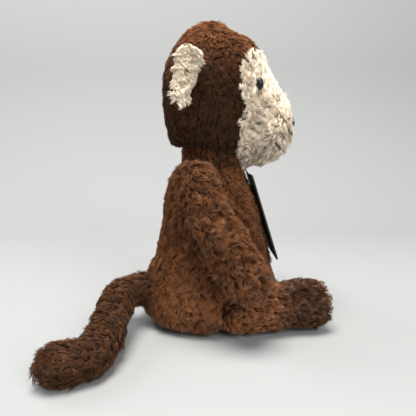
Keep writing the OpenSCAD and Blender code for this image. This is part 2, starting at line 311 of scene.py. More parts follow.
def new_piece(name, points, quads, tris, material, shade=None):
    """A mesh object with the shade of every point kept for its material."""
    if shade is None:
        shade = np.tile([0.5, 0.5, 0.5, 1.0], (len(points), 1))
    data = bpy.data.meshes.new(name)
    loops = np.concatenate([quads.ravel(), tris.ravel()]).astype(np.int32)
    sizes = np.concatenate([np.full(len(quads), 4), np.full(len(tris), 3)]).astype(np.int32)
    data.vertices.add(len(points))
    data.vertices.foreach_set("co", points.astype(np.float32).ravel())
    data.loops.add(len(loops))
    data.loops.foreach_set("vertex_index", loops)
    data.polygons.add(len(sizes))
    data.polygons.foreach_set("loop_start", (np.cumsum(sizes) - sizes).astype(np.int32))
    data.polygons.foreach_set("use_smooth", np.ones(len(sizes), bool))
    data.update(calc_edges=True)
    kept = data.attributes.new("pile", "FLOAT_COLOR", "POINT")
    kept.data.foreach_set("color", shade.astype(np.float32).ravel())
    data.materials.append(material)
    piece = bpy.data.objects.new(name, data)
    bpy.context.scene.collection.objects.link(piece)
    return piece


def panel_cloth(points, faces, normals, thick):
    """The backing of one panel as a closed sheet of that thickness, with its cut edge turned in."""
    used, flat = np.unique(faces, return_inverse=True)
    quads = flat.reshape(faces.shape)
    face_side = points[used]
    back_side = face_side - normals[used] * thick
    n = len(used)
    pairs = np.concatenate([quads[:, [k, (k + 1) % 4]] for k in range(4)])
    keys = pairs[:, 0] * n + pairs[:, 1]
    other = pairs[:, 1] * n + pairs[:, 0]
    rim = pairs[~np.isin(keys, other)]
    walls = np.column_stack([rim[:, 1], rim[:, 0], rim[:, 0] + n, rim[:, 1] + n])
    return np.concatenate([face_side, back_side]), np.concatenate([quads, quads[:, ::-1] + n, walls])


def pile_cloth(name, root, body, tip, warm, fleck):
    """Knitted pile: dark down at the backing and lighter at the tips, a painted shade down among the tufts,
    with every lock its own shade.
    """
    cloth = bpy.data.materials.new(name)
    cloth.use_nodes = True
    tree = cloth.node_tree
    link = tree.links.new
    shader = tree.nodes["Principled BSDF"]
    shader.inputs["Roughness"].default_value = 0.85
    shader.inputs["Specular IOR Level"].default_value = 0.06
    shader.inputs["Sheen Weight"].default_value = 0.1
    shader.inputs["Sheen Roughness"].default_value = 0.5
    shader.inputs["Sheen Tint"].default_value = [1.0, 0.9, 0.8, 1]
    kept = tree.nodes.new("ShaderNodeAttribute")
    kept.attribute_name = "pile"
    parts = tree.nodes.new("ShaderNodeSeparateColor")
    link(kept.outputs["Color"], parts.inputs["Color"])
    ramp = tree.nodes.new("ShaderNodeValToRGB")
    ramp.color_ramp.elements[0].color = [*root, 1]
    ramp.color_ramp.elements[1].color = [*tip, 1]
    ramp.color_ramp.elements.new(0.5).color = [*body, 1]
    link(parts.outputs["Red"], ramp.inputs["Fac"])
    place = tree.nodes.new("ShaderNodeNewGeometry")
    drift = tree.nodes.new("ShaderNodeTexNoise")
    drift.inputs["Scale"].default_value = 28.0
    drift.inputs["Detail"].default_value = 3.0
    link(place.outputs["Position"], drift.inputs["Vector"])
    toned = tree.nodes.new("ShaderNodeMix")
    toned.data_type = "RGBA"
    toned.blend_type = "MULTIPLY"
    toned.inputs["B"].default_value = [*warm, 1]
    link(drift.outputs["Fac"], toned.inputs["Factor"])
    link(ramp.outputs["Color"], toned.inputs["A"])
    vary = tree.nodes.new("ShaderNodeMath")
    vary.operation = "MULTIPLY_ADD"
    vary.inputs[1].default_value = fleck
    vary.inputs[2].default_value = 1 - fleck * 0.8
    link(parts.outputs["Green"], vary.inputs[0])
    finer = tree.nodes.new("ShaderNodeMath")
    finer.operation = "MULTIPLY_ADD"
    finer.inputs[1].default_value = fleck * 0.6
    link(parts.outputs["Blue"], finer.inputs[0])
    link(vary.outputs["Value"], finer.inputs[2])
    # The kept alpha brings in each panel's painted light and shade, times a tone that differs at random.
    painted_light_and_tone = tree.nodes.new("ShaderNodeMath")
    painted_light_and_tone.operation = "MULTIPLY"
    link(finer.outputs["Value"], painted_light_and_tone.inputs[0])
    link(kept.outputs["Alpha"], painted_light_and_tone.inputs[1])
    bright = tree.nodes.new("ShaderNodeHueSaturation")
    link(painted_light_and_tone.outputs["Value"], bright.inputs["Value"])
    link(toned.outputs["Result"], bright.inputs["Color"])
    link(bright.outputs["Color"], shader.inputs["Base Color"])
    fuzz = tree.nodes.new("ShaderNodeTexNoise")
    fuzz.inputs["Scale"].default_value = 900.0
    link(place.outputs["Position"], fuzz.inputs["Vector"])
    bump = tree.nodes.new("ShaderNodeBump")
    bump.inputs["Strength"].default_value = 0.35
    bump.inputs["Distance"].default_value = 0.0004
    link(fuzz.outputs["Fac"], bump.inputs["Height"])
    link(bump.outputs["Normal"], shader.inputs["Normal"])
    return cloth


# The first colour of each cloth is its dark root: painted shade down among the tufts.
brown_pile = pile_cloth("brown_pile", (0.036, 0.011, 0.003), (0.165, 0.058, 0.017), (0.35, 0.175, 0.092),
                        (0.72, 0.61, 0.50), 0.5)
cream_pile = pile_cloth("cream_pile", (0.50, 0.36, 0.23), (0.88, 0.76, 0.60), (0.98, 0.93, 0.83),
                        (0.95, 0.92, 0.88), 0.2)

faces_allowed = 196000
floor_gap, floor_ripple, ripple_rate = 0.3 * mm, 0.3 * mm, 9000


def sew_panel(name, points, faces, normals, comb, every, long, wide, seed, material,
              swirl=1.0, patch=15 * mm, curl=0.8, lift=40, gather=0.35, per_lock=14, uneven=0.22, stops=3,
              tone=1.0, keep=None):
    """One panel of pile cloth: its backing, and a tuft for every so many square metres."""
    rng = np.random.default_rng(seed)
    backing, sheet = panel_cloth(points, faces, normals, 1.2 * mm)
    a, b, c, d = (points[faces[:, k]] for k in range(4))
    area = np.linalg.norm(np.cross(c - a, d - b), axis=1).sum() / 2
    tuft_faces = 6 * stops - 8
    most = (faces_allowed - 4 * len(faces)) // tuft_faces
    count = int(min(most, area / every))
    spots, out = scatter(points, faces, normals, count, rng)
    if keep is not None:
        held = keep(spots, out)
        spots, out = spots[held], out[held]
    lay = comb(spots, out)
    lay = unit(lay - (lay * out).sum(1)[:, None] * out)
    wander = waves(spots, patch, seed + 1) + 0.5 * waves(spots, patch * 0.45, seed + 2)
    lay = turned(lay, out, swirl * wander)
    reach = long * (1 + uneven * waves(spots, 9 * mm, seed + 3))
    # The tone is painted light and shade set panel by panel, here times a tone that differs at random.
    painted_light_and_tone = tone(spots) if callable(tone) else np.full(len(spots), tone)
    painted_light_and_tone *= 1 + 0.2 * waves(spots, 21 * mm, seed + 4) + 0.16 * waves(spots, 8 * mm, seed + 5)
    tufts, quads, tris, shade = grow_pile(spots, out, lay, reach, wide, painted_light_and_tone, rng, curl, lift, gather,
                                          per_lock, stops)
    start = len(backing)
    all_points = np.concatenate([backing, tufts])
    floor = floor_gap + floor_ripple * np.sin(all_points[:, 0] * ripple_rate)
    all_points[:, 2] = np.maximum(all_points[:, 2], floor)
    # The backing takes the dark root colour, painted shade under the tufts.
    return new_piece(name, all_points, np.concatenate([sheet, quads + start]), tris + start, material,
                     np.concatenate([np.tile([0.0, 0.5, 0.5, painted_light_and_tone.mean()], (start, 1)), shade]))


body_low, body_high = (np.array(v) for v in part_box("torso_cover"))
body_axis = (body_low + body_high) / 2
body_shape = bmesh.new()
add_node(body_shape, "torso_stuffing")
for side in (-1, 1):
    collar_side = body_axis * [1, 1, 0] + [side * 15 * mm, 3 * mm, body_high[2] - 18 * mm]
    shoulder_end = [side * 38 * mm, 15 * mm, body_high[2] - 13 * mm]
    armpit = [side * 26 * mm, 8 * mm, body_high[2] - 44 * mm]
    add_hull(body_shape, ball_points(collar_side, 13 * mm) + ball_points(shoulder_end, 11.3 * mm)
             + ball_points(armpit, 12 * mm))
body_points, body_faces = soften(body_shape, 2.6 * mm, 6)


def ease(value, start, end):
    """From 0 at start to 1 at end, level at both."""
    t = np.clip((value - start) / (end - start), 0, 1)
    return t * t * (3 - 2 * t)


def settle(points):
    """The stuffing sits back: the back and the seat are fuller, and the belly comes forward a little."""
    back = np.interp(points[:, 2], np.array([4, 45, 60, 76, 100, 116, 130, 146]) * mm,
                     np.array([8, 7, 4, 1.5, 2.5, 6, 8.5, 5]) * mm)
    front = np.interp(points[:, 2], np.array([10, 60, 100, 120]) * mm, np.array([0.5, 2.0, 1.5, 0]) * mm)
    wider = 1 + 0.1 * ease(points[:, 2], 80 * mm, 112 * mm) * (1 - ease(points[:, 2], 122 * mm, 140 * mm))
    points = points * np.column_stack([wider, np.ones((len(points), 2))])
    behind = ease(points[:, 1], 0, 34 * mm)
    ahead = ease(-points[:, 1], 4 * mm, 24 * mm)
    return points + (back * behind - front * ahead)[:, None] * [0, 1, 0]


body_points = settle(body_points)
body_out = skin_normals(body_points, body_faces)
body_turn = np.arctan2(body_points[:, 0], body_points[:, 1] - body_axis[1])
seam_turns = np.array([-1.75, -0.62, 0.62, 1.75])
seam_off = np.minimum(np.abs(body_turn[:, None] - seam_turns).min(1), math.pi - np.abs(body_turn))
seam_off = seam_off * np.hypot(body_points[:, 0], body_points[:, 1] - body_axis[1])
body_points = body_points + body_out * (
    (1.0 * waves(body_points, 34 * mm, 11) + 0.6 * waves(body_points, 13 * mm, 12))[:, None] * mm
    - 2.0 * mm * np.exp(-(seam_off / (2.6 * mm)) ** 2)[:, None])
body_points[:, 2] = np.maximum(body_points[:, 2], 1.0 * mm)
body_out = skin_normals(body_points, body_faces)
face_turn = body_turn[body_faces].mean(1)
gore = np.searchsorted(seam_turns, face_turn)
body_panels = ("body_front_right", "body_side_right", "body_back", "body_side_left", "body_front_left")


def down(spots, out):
    return np.tile([0.0, 0.0, -1.0], (len(spots), 1)) + 0.15 * out


def body_painted_light(spots):
    """Painted light on the pile: lighter low on the sides than elsewhere."""
    low = 1 - ease(spots[:, 2], 25 * mm, 80 * mm)
    return 1.2 + 0.5 * low * ease(np.abs(spots[:, 0]), 20 * mm, 45 * mm)


def off_the_seat(spots, out):
    return (out[:, 2] > -0.75) | (spots[:, 2] > 8 * mm)


for number, name in enumerate(body_panels):
    panel = sew_panel(name, body_points, body_faces[gore == number], body_out, down, 0.6 * mm * mm,
                      6.4 * mm, 0.68 * mm, 100 + 10 * number, brown_pile, swirl=0.8,
                      gather=0.25, tone=body_painted_light, keep=off_the_seat)
    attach(panel, "torso")
    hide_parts("torso_cover")

# ---------------------------------------------------------------------------------------------
# What the body holds: white fibre, springy and lumpy, and low at the back a small cotton pouch
# of plastic beans that keeps it sitting. The pouch is two rounds of cotton sewn at the edge.
# ---------------------------------------------------------------------------------------------
def grained(name, dark, light, span, rough, bump_depth, thread=None):
    """A fine-grained finish: mottled colour and a bumpy face, woven where it has a thread."""
    finish = bpy.data.materials.new(name)
    finish.use_nodes = True
    tree = finish.node_tree
    link = tree.links.new
    shader = tree.nodes["Principled BSDF"]
    shader.inputs["Roughness"].default_value = rough
    shader.inputs["Specular IOR Level"].default_value = 0.3
    place = tree.nodes.new("ShaderNodeNewGeometry")
    grain = tree.nodes.new("ShaderNodeTexNoise")
    grain.inputs["Scale"].default_value = 1 / span
    grain.inputs["Detail"].default_value = 6.0
    link(place.outputs["Position"], grain.inputs["Vector"])
    ramp = tree.nodes.new("ShaderNodeValToRGB")
    ramp.color_ramp.elements[0].position = 0.3
    ramp.color_ramp.elements[1].position = 0.7
    ramp.color_ramp.elements[0].color = [*dark, 1]
    ramp.color_ramp.elements[1].color = [*light, 1]
    link(grain.outputs["Fac"], ramp.inputs["Fac"])
    link(ramp.outputs["Color"], shader.inputs["Base Color"])
    height = grain.outputs["Fac"]
    if thread:
        weave = tree.nodes.new("ShaderNodeTexWave")
        weave.inputs["Scale"].default_value = 1 / thread
        weave.inputs["Distortion"].default_value = 1.5
        weave.bands_direction = "DIAGONAL"
        link(place.outputs["Position"], weave.inputs["Vector"])
        both = tree.nodes.new("ShaderNodeMath")
        both.operation = "MULTIPLY"
        link(weave.outputs["Fac"], both.inputs[0])
        link(grain.outputs["Fac"], both.inputs[1])
        height = both.outputs["Value"]
    bump = tree.nodes.new("ShaderNodeBump")
    bump.inputs["Strength"].default_value = 0.5
    bump.inputs["Distance"].default_value = bump_depth
    link(height, bump.inputs["Height"])
    link(bump.outputs["Normal"], shader.inputs["Normal"])
    return finish


fibre = grained("fibre_filling", (0.72, 0.72, 0.70), (0.90, 0.90, 0.88), 3 * mm, 0.95, 0.6 * mm)
cotton = grained("bean_cotton", (0.60, 0.56, 0.46), (0.74, 0.70, 0.60), 2 * mm, 0.9, 0.2 * mm, 1.2 * mm)


def stuff(name, points, faces, normals, body, inset, seed, *stands_for):
    """A filling as one lumpy closed form a little inside its cover."""
    lumps = 0.5 * mm * waves(points, 7 * mm, seed) + 0.35 * mm * waves(points, 3.5 * mm, seed + 1)
    inside = points - normals * (inset + 0.85 * mm - lumps)[:, None]
    inside[:, 2] = np.maximum(inside[:, 2], 2.2 * mm)
    piece = new_piece(name, inside, faces, np.zeros((0, 3), int), fibre)
    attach(piece, body)
    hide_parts(*stands_for)
    return piece


def lathe(profile, steps):
    """Closed turned form about Z from (radius, height) points, its first and last on the axis."""
    rings = profile[1:-1]
    around = np.arange(steps) * 2 * math.pi / steps
    points = [[0, 0, profile[0][1]]]
    for r, z in rings:
        points += [[r * math.cos(a), r * math.sin(a), z] for a in around]
    points.append([0, 0, profile[-1][1]])
    here, ahead = np.arange(steps), (np.arange(steps) + 1) % steps
    quads = [np.column_stack([1 + k * steps + here, 1 + k * steps + ahead, 1 + (k + 1) * steps + ahead,
                              1 + (k + 1) * steps + here]) for k in range(len(rings) - 1)]
    first = np.column_stack([np.zeros(steps, int), 1 + ahead, 1 + here])
    top = 1 + (len(rings) - 1) * steps
    last = np.column_stack([np.full(steps, len(points) - 1), top + here, top + ahead])
    return np.array(points, float), np.concatenate(quads), np.concatenate([first, last])


stuff("body_filling", body_points, body_faces, body_out, "torso", 1.2 * mm, 21, "torso_stuffing")

pouch_low, pouch_high = (np.array(v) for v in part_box("bean_bag"))
pouch_mid, pouch_half = (pouch_low + pouch_high) / 2, (pouch_high - pouch_low) / 2
pouch_edge = 0.06
pouch_profile = [(0, -0.98)] + [
    (math.sin(a) ** 0.8 * 0.93, -math.cos(a) * abs(math.cos(a)) ** -0.3) for a in np.linspace(0.15, 1.5, 9)]
pouch_profile += [(1.0, -pouch_edge), (1.0, pouch_edge)]
pouch_profile += [(r, -z) for r, z in reversed(pouch_profile[:10])]
pouch_points, pouch_quads, pouch_tris = lathe(pouch_profile, 48)
pouch_points *= pouch_half
pouch_points += pouch_points * (0.05 * waves(pouch_points, 9 * mm, 31) - 0.05)[:, None] * [1, 1, 0.6]
pouch = new_piece("bean_pouch", pouch_points + pouch_mid, pouch_quads, pouch_tris, cotton)
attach(pouch, "torso")
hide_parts("bean_bag")

# ---------------------------------------------------------------------------------------------
# The neck: a short collar of the brown pile cloth, sewn to the body below and to the head above.
# ---------------------------------------------------------------------------------------------
neck_low, neck_high = (np.array(v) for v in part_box("neck_plug"))
neck_mid = (neck_low + neck_high) / 2
collar_r, collar_low, collar_top = 26.5 * mm, neck_mid[2] - 16 * mm, neck_mid[2] + 12 * mm
collar_profile = [(0, collar_low), (collar_r * 0.7, collar_low), (collar_r * 1.0, collar_low + 2 * mm),
                  (collar_r * 1.02, neck_mid[2] - 8 * mm), (collar_r * 0.97, neck_mid[2]),
                  (collar_r, neck_mid[2] + 6 * mm), (collar_r * 0.96, collar_top - 1.5 * mm),
                  (collar_r * 0.7, collar_top), (0, collar_top)]
collar_shape = bmesh.new()
collar_turns = np.linspace(0, 2 * math.pi, 36, endpoint=False)
add_hull(collar_shape, [Vector((r * math.cos(a) + neck_mid[0], r * math.sin(a) + neck_mid[1], z))
                        for r, z in collar_profile for a in collar_turns])
collar_points, collar_faces = soften(collar_shape, 2.6 * mm, 3)
collar_out = skin_normals(collar_points, collar_faces)
# The collar's tone of 0.7 is painted shade under the head.
collar = sew_panel("neck_collar", collar_points, collar_faces, collar_out, down, 0.62 * mm * mm, 5 * mm,
                   0.74 * mm, 150, brown_pile, swirl=0.7, tone=0.7,
                   keep=lambda spots, out: np.abs(out[:, 2]) < 0.8)
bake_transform(collar)
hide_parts("neck_plug")

# ---------------------------------------------------------------------------------------------
# The head: two brown side panels and a middle strip over the top, a cream face panel with two
# round lobes above the eyes, and a cream ball of a muzzle, all sewn together and stuffed.
# ---------------------------------------------------------------------------------------------
head_low, head_high = (np.array(v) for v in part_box("head_cover"))
head_mid = (head_low + head_high) / 2
muzzle_low, muzzle_high = (np.array(v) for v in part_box("muzzle"))
muzzle_r = (muzzle_high[0] - muzzle_low[0]) / 2
muzzle_mid = np.array([0, muzzle_low[1] + muzzle_r, muzzle_high[2] - muzzle_r])
lobe_x, lobe_r, lobe_z, face_back = 17 * mm, 25 * mm, 208 * mm, -22 * mm
strip_half = 19 * mm

head_shape = bmesh.new()
add_hull(head_shape, node_points("head_stuffing"))
add_hull(head_shape, muzzle_mid + (node_points("muzzle") - muzzle_mid) * 0.955)
brow_ball = ball_points([0, -33 * mm, 222 * mm], 13 * mm)
bridge_ball = ball_points([0, -46 * mm, 190 * mm], 17 * mm)
add_hull(head_shape, brow_ball + bridge_ball)
head_points, head_faces = soften(head_shape, 2.6 * mm, 5)
crown = ease(head_points[:, 2], 238 * mm, 264 * mm)
nape_heights = np.array([152, 159, 166, 175, 190, 215]) * mm
nape_fullness = np.array([7, 9, 6.5, 3, 1, 0]) * mm
nape = np.interp(head_points[:, 2], nape_heights, nape_fullness)
head_points[:, 0] *= 1 - 0.1 * crown
nape_out = nape * ease(head_points[:, 1], 4 * mm, 30 * mm)
head_points[:, 1] += nape_out + crown * (3 * mm - 0.1 * head_points[:, 1])
head_points[:, 2] += 1.5 * mm * crown
jowl = ease(-head_points[:, 1], -14 * mm, 20 * mm) * (1 - ease(head_points[:, 2], 158 * mm, 184 * mm))
head_points[:, 2] -= 8 * mm * jowl * (1 - ease(-head_points[:, 1], 24 * mm, 34 * mm))
brow_y, brow_z = head_points[:, 1] + 15 * mm, head_points[:, 2] - 256 * mm
brow_dent = np.exp(-(brow_y / (12 * mm)) ** 2 - (brow_z / (10 * mm)) ** 2)
head_points += 3 * mm * brow_dent[:, None] * [0, 0.5, -0.85]
ear_hinge = {j["child"]: np.array(j["pos_m"]) for j in frame["joints"] if j["child"].startswith("ear")}
ear_seat, seat_long, seat_tall, seat_behind = 5.5 * mm, 10 * mm, 13 * mm, 4 * mm
for hinge in ear_hinge.values():
    near = head_points - hinge - [0, seat_behind, 0]
    same_side = head_points[:, 0] * hinge[0] > 0
    seat = np.exp(-(near[:, 1] / seat_long) ** 2 - (near[:, 2] / seat_tall) ** 2) * same_side
    head_points[:, 0] += np.sign(hinge[0]) * ear_seat * seat
head_out = skin_normals(head_points, head_faces)


def in_face(p):
    """The cream front: two round lobes over the eyes, and everything below them ahead of the cheeks."""
    lobes = np.minimum(np.hypot(p[:, 0] - lobe_x, p[:, 2] - lobe_z),
                       np.hypot(p[:, 0] + lobe_x, p[:, 2] - lobe_z))
    cheek_nick = 5 * mm * np.exp(-((p[:, 2] - 189 * mm) / (6 * mm)) ** 2)
    return (p[:, 1] < face_back - cheek_nick) & ((lobes < lobe_r) | (p[:, 2] < lobe_z))


def in_muzzle(p):
    return in_face(p) & (np.linalg.norm(p - muzzle_mid, axis=1) < muzzle_r * 1.04)


no_seam = 9
strip_off = np.where(in_face(head_points), no_seam, np.abs(np.abs(head_points[:, 0]) - strip_half))
head_points = head_points + head_out * (
    (0.8 * waves(head_points, 36 * mm, 41) + 0.45 * waves(head_points, 14 * mm, 42))[:, None] * mm
    - 1.6 * mm * np.exp(-(strip_off / (2.4 * mm)) ** 2)[:, None])
head_out = skin_normals(head_points, head_faces)
face_mid = head_points[head_faces].mean(1)
cream_muzzle = in_muzzle(face_mid)
cream_face = in_face(face_mid) & ~cream_muzzle
brown = ~(cream_face | cream_muzzle)
head_panels = {
    "head_right": brown & (face_mid[:, 0] < -strip_half),
    "head_middle": brown & (np.abs(face_mid[:, 0]) <= strip_half),
    "head_left": brown & (face_mid[:, 0] > strip_half),
}


def from_crown(spots, out):
    """Brushed away from the forehead, back over the crown and down the sides."""
    fall = -0.6 - 4 * (head_high[2] - spots[:, 2])
    return np.column_stack([spots[:, 0] * 4, 0.05 + 0 * spots[:, 0], fall])


def head_painted_light(spots):
    """Painted light and shade on the pile: painted shade down the sides, painted light over the crown."""
    return 0.42 + 1.25 * ease(spots[:, 2], 205 * mm, 256 * mm)


def from_nose(spots, out):
    return spots - (muzzle_mid + [0, -20 * mm, 6 * mm])


for number, (name, mask) in enumerate(head_panels.items()):
    panel = sew_panel(name, head_points, head_faces[mask], head_out, from_crown, 0.56 * mm * mm, 5.6 * mm,
                      0.66 * mm, 200 + 10 * number, brown_pile, swirl=0.75, curl=0.6, lift=36,
                      tone=head_painted_light)
    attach(panel, "head")
    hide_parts("head_cover")

stitch = node_points("mouth_stitch")
mouth_ends = (stitch[np.argmin(stitch[:, 0])], stitch[np.argmax(stitch[:, 0])])
mouth_low = stitch[np.argsort(np.abs(stitch[:, 0]))[:20]].mean(0)


mouth_lift, mouth_back = 1.2 * mm, 0.8 * mm


def on_mouth(t):
    """A point on the smile, t from -1 at the right corner to 1 at the left, and which way is out."""
    end = mouth_ends[0] if t < 0 else mouth_ends[1]
    reach = end + [0, mouth_back, mouth_lift] - mouth_low
    p = mouth_low + reach * [abs(t), abs(t) ** 2, abs(t) ** 4.5] - [0, 0, mouth_lift]
    way = (p - muzzle_mid) / np.linalg.norm(p - muzzle_mid)
    return muzzle_mid + way * (muzzle_r + 1.4 * mm), way


mouth_line = np.array([on_mouth(t)[0] for t in np.linspace(-1, 1, 60)])
bead_spots = [np.mean(node_points(node), axis=0) for node in ("eye_right", "eye_left", "nose")]


def clear_of_beads(spots, out):
    """No pile grows close round the beads or the mouth's thread."""
    from_bead = np.min([np.linalg.norm(spots - bead, axis=1) for bead in bead_spots], axis=0)
    from_mouth = np.min([np.linalg.norm(spots - p, axis=1) for p in mouth_line], axis=0)
    return (from_bead > 5.6 * mm) & (from_mouth > 2.9 * mm)


face_panel = sew_panel("face_panel_pile", head_points, head_faces[cream_face], head_out, from_nose,
                       0.5 * mm * mm, 7.0 * mm, 0.62 * mm, 240, cream_pile,
                       swirl=0.7, curl=0.6, gather=0.3, lift=42, stops=4, keep=clear_of_beads)
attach(face_panel, "head")
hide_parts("face_panel")
muzzle_panel = sew_panel("muzzle_pile", head_points, head_faces[cream_muzzle], head_out, from_nose,
                         0.5 * mm * mm, 9.0 * mm, 0.64 * mm, 250, cream_pile,
                         swirl=1.3, patch=12 * mm, curl=0.7, gather=0.4, per_lock=12, lift=40, stops=4,
                         keep=clear_of_beads)
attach(muzzle_panel, "head")
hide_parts("muzzle")
stuff("head_filling", head_points, head_faces, head_out, "head", 1.2 * mm, 61, "head_stuffing")

# ---------------------------------------------------------------------------------------------
# The eyes and the nose: glossy black plastic beads on stems that go through the cloth into flat
# locking washers. The eyes are drawn narrower than they are tall, and the nose wider.
# ---------------------------------------------------------------------------------------------
def moulded(name, colour, rough, coat):
    plastic = bpy.data.materials.new(name)
    plastic.use_nodes = True
    tree = plastic.node_tree
    link = tree.links.new
    shader = tree.nodes["Principled BSDF"]
    shader.inputs["Specular IOR Level"].default_value = 0.3
    shader.inputs["Coat Weight"].default_value = coat
    shader.inputs["Coat Roughness"].default_value = 0.05
    place = tree.nodes.new("ShaderNodeNewGeometry")
    scuff = tree.nodes.new("ShaderNodeTexNoise")
    scuff.inputs["Scale"].default_value = 700.0
    scuff.inputs["Detail"].default_value = 4.0
    link(place.outputs["Position"], scuff.inputs["Vector"])
    ramp = tree.nodes.new("ShaderNodeValToRGB")
    ramp.color_ramp.elements[0].color = [*colour, 1]
    ramp.color_ramp.elements[1].color = [*(c * 1.4 + 0.004 for c in colour), 1]
    link(scuff.outputs["Fac"], ramp.inputs["Fac"])
    link(ramp.outputs["Color"], shader.inputs["Base Color"])
    shine = tree.nodes.new("ShaderNodeMapRange")
    shine.inputs["To Min"].default_value = rough * 0.8
    shine.inputs["To Max"].default_value = rough * 1.5
    link(scuff.outputs["Fac"], shine.inputs["Value"])
    link(shine.outputs["Result"], shader.inputs["Roughness"])
    return plastic


bead_black = moulded("bead_black", (0.005, 0.005, 0.005), 0.10, 0.0)
washer_white = moulded("washer_plastic", (0.62, 0.62, 0.60), 0.45, 0.0)


def bead(name, node, out, r, tall, wide_by, sink):
    """A domed bead with a rolled rim and its stem, standing on the end of the node's stem."""
    steps = np.linspace(0.05, math.pi / 2, 12)
    profile = [(0, -9 * mm), (1.4 * mm, -9 * mm), (1.5 * mm, -8.6 * mm), (1.5 * mm, 0)]
    profile += [(r * 0.9, 0.05 * mm)]
    profile += [(r * math.cos(a) ** 0.9, 0.7 * mm + tall * math.sin(a)) for a in steps[:-1]]
    profile += [(0, 0.7 * mm + tall)]
    points, quads, tris = lathe(profile, 48)
    points = points * [wide_by, 1, 1]
    out = Vector(out).normalized()
    across = Vector((0, 0, 1)).cross(out).normalized()
    turn = np.array([across, out.cross(across), out]).T
    cad = node_points(node)
    base = cad[np.argsort(-(cad @ np.array(out)))[:60]].mean(0) - np.array(out) * sink
    piece = new_piece(name, points @ turn.T + base, quads, tris, bead_black)
    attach(piece, "head")
    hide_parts(node)
    return piece


head_axis = np.array([0, head_mid[1], 0])
for name, node in (("right_eye_bead", "eye_right"), ("left_eye_bead", "eye_left")):
    across = (bead_spots[0 if node == "eye_right" else 1] - head_axis) * [1, 1, 0]
    bead(name, node, across, 4.8 * mm, 3.3 * mm, 0.74, 5.8 * mm)
nose_out = bead_spots[2] - muzzle_mid
bead("nose_bead", "nose", nose_out, 6.0 * mm, 3.4 * mm, 1.2, 5.6 * mm)
for node in ("eye_washer_right", "eye_washer_left", "nose_washer"):
    washer = frame["nodes"][node]
    washer.data.materials.clear()
    washer.data.materials.append(washer_white)

# ---------------------------------------------------------------------------------------------
# The mouth: a smile of black thread sewn across the muzzle in long back stitches, drawn a little
# way into the pile.
# ---------------------------------------------------------------------------------------------
def drawn_tube(path, r, sides=8):
    """A closed round tube along a list of points."""
    path = np.array(path, float)
    along = unit(np.gradient(path, axis=0))
    up = np.cross(along[0], [0.3, 0.9, 0.2])
    rings = []
    for p, t in zip(path, along):
        up = up - t * (up @ t)
        up /= np.linalg.norm(up)
        over = np.cross(t, up)
        rings.append([p + r * (math.cos(a) * up + math.sin(a) * over)
                      for a in np.arange(sides) * 2 * math.pi / sides])
    n = len(rings)
    tips = [path[0] - along[0] * r * 0.5, path[-1] + along[-1] * r * 0.5]
    points = np.array([p for ring in rings for p in ring] + tips)
    j = np.arange(sides)
    ahead = (j + 1) % sides
    quads = [np.column_stack([k * sides + j, k * sides + ahead, (k + 1) * sides + ahead,
                              (k + 1) * sides + j]) for k in range(n - 1)]
    first = np.column_stack([np.full(sides, n * sides), ahead, j])
    last = np.column_stack([np.full(sides, n * sides + 1), (n - 1) * sides + j, (n - 1) * sides + ahead])
    return points, np.concatenate(quads), np.concatenate([first, last])


def joined(parts):
    """Several closed forms as one set of points, quads and tris."""
    points, quads, tris, start = [], [], [], 0
    for p, q, t in parts:
        points.append(p)
        quads.append(q + start)
        tris.append(t + start)
        start += len(p)
    return np.concatenate(points), np.concatenate(quads), np.concatenate(tris)


thread_black = grained("black_thread", (0.012, 0.010, 0.010), (0.05, 0.045, 0.042), 0.8 * mm, 0.6,
                       0.1 * mm, 0.7 * mm)
stitch_r, stitches = 0.8 * mm, 8
threads = []
for k in range(stitches):
    span = np.linspace(-1 + 2 * k / stitches, -1 + 2 * (k + 1) / stitches, 7)
    run = []
    for j, t in enumerate(span):
        p, way = on_mouth(t)
        run.append(p - way * (1.4 * mm if j in (0, 6) else 0.25 * mm if j in (1, 5) else 0))
    threads.append(drawn_tube(run, stitch_r))
mouth_points, mouth_quads, mouth_tris = joined(threads)
mouth = new_piece("mouth_thread", mouth_points, mouth_quads, mouth_tris, thread_black)
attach(mouth, "head")
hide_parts("mouth_stitch")

# ---------------------------------------------------------------------------------------------
# The ears: brown pile cloth behind, cream pile cloth in front, sewn edge to edge, turned out and
# caught in the head's side seam along a short line. They cup forward and fold along that line.
# ---------------------------------------------------------------------------------------------
ear_splay, ear_rings, ear_spokes = math.radians(30), 9, 56
ear_top, ear_foot = (16.0 * mm, 10.5 * mm, 11.2 * mm), (23.0 * mm, -16.5 * mm, 6.4 * mm)
ear_waist = 1.2 * mm


def ear_edge(angle, centre):
    """How far the outline is from the centre in one direction: a hull of two rounds."""
    way = np.array([math.cos(angle), math.sin(angle)])
    best = 0
    for t in np.linspace(0, 1, 24):
        c = np.array([ear_top[0] + (ear_foot[0] - ear_top[0]) * t,
                      ear_top[1] + (ear_foot[1] - ear_top[1]) * t])
        r = ear_top[2] + (ear_foot[2] - ear_top[2]) * t - ear_waist * math.sin(math.pi * t)
        gap = centre - c
        b = gap @ way
        inside = b * b - gap @ gap + r * r
        if inside > 0:
            best = max(best, -b + math.sqrt(inside))
    return best


